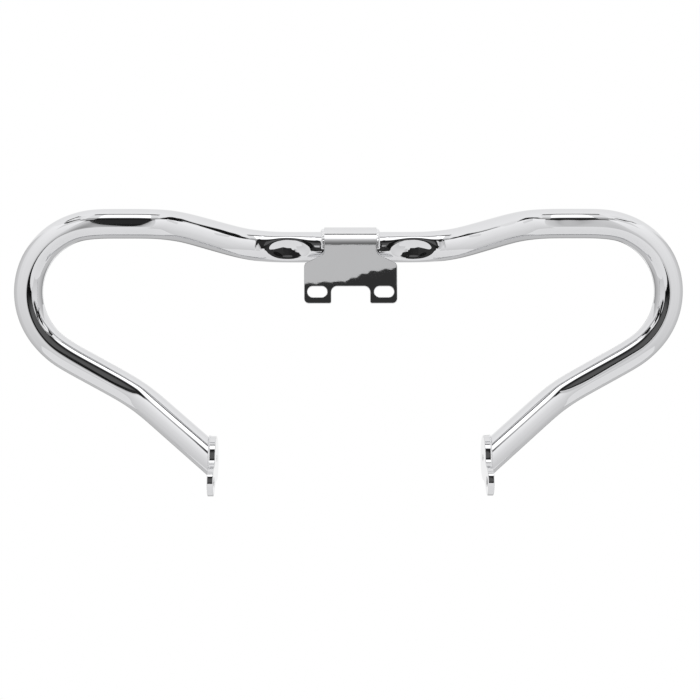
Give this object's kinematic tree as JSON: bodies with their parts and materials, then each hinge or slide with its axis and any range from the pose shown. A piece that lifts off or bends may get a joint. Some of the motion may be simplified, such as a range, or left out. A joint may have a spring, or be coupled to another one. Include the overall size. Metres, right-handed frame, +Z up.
{
  "type": "motorcycle crash bars",
  "caption": "Bent chromed tube that loops out on each side to guard a motorcycle's engine, with a slotted middle bracket and a bolt flange on the end of each leg.",
  "frame": {"origin": "centre of the two slots of the middle bracket, on the rear face of its plate, which bolts to the motorcycle's frame", "axes": "+X along the width to the part's left as it is ridden (right in the picture), +Y to the rear, square to the plate, and +Z up"},
  "size_m": [0.7268, 0.1315, 0.3064],
  "materials": {
    "chromed_tube": "bright chrome plate on polished steel tube",
    "chromed_sheet": "bright chrome plate on polished sheet steel",
    "chromed_weld": "bright chrome plate over a rippled weld"
  },
  "bodies": {
    "root": {"guard_tube": "chromed_tube", "centre_bracket": "chromed_sheet", "left_flange": "chromed_sheet", "right_flange": "chromed_sheet", "left_saddle_bead": "chromed_weld", "right_saddle_bead": "chromed_weld", "left_flange_bead": "chromed_weld", "right_flange_bead": "chromed_weld"}
  },
  "joints": []
}
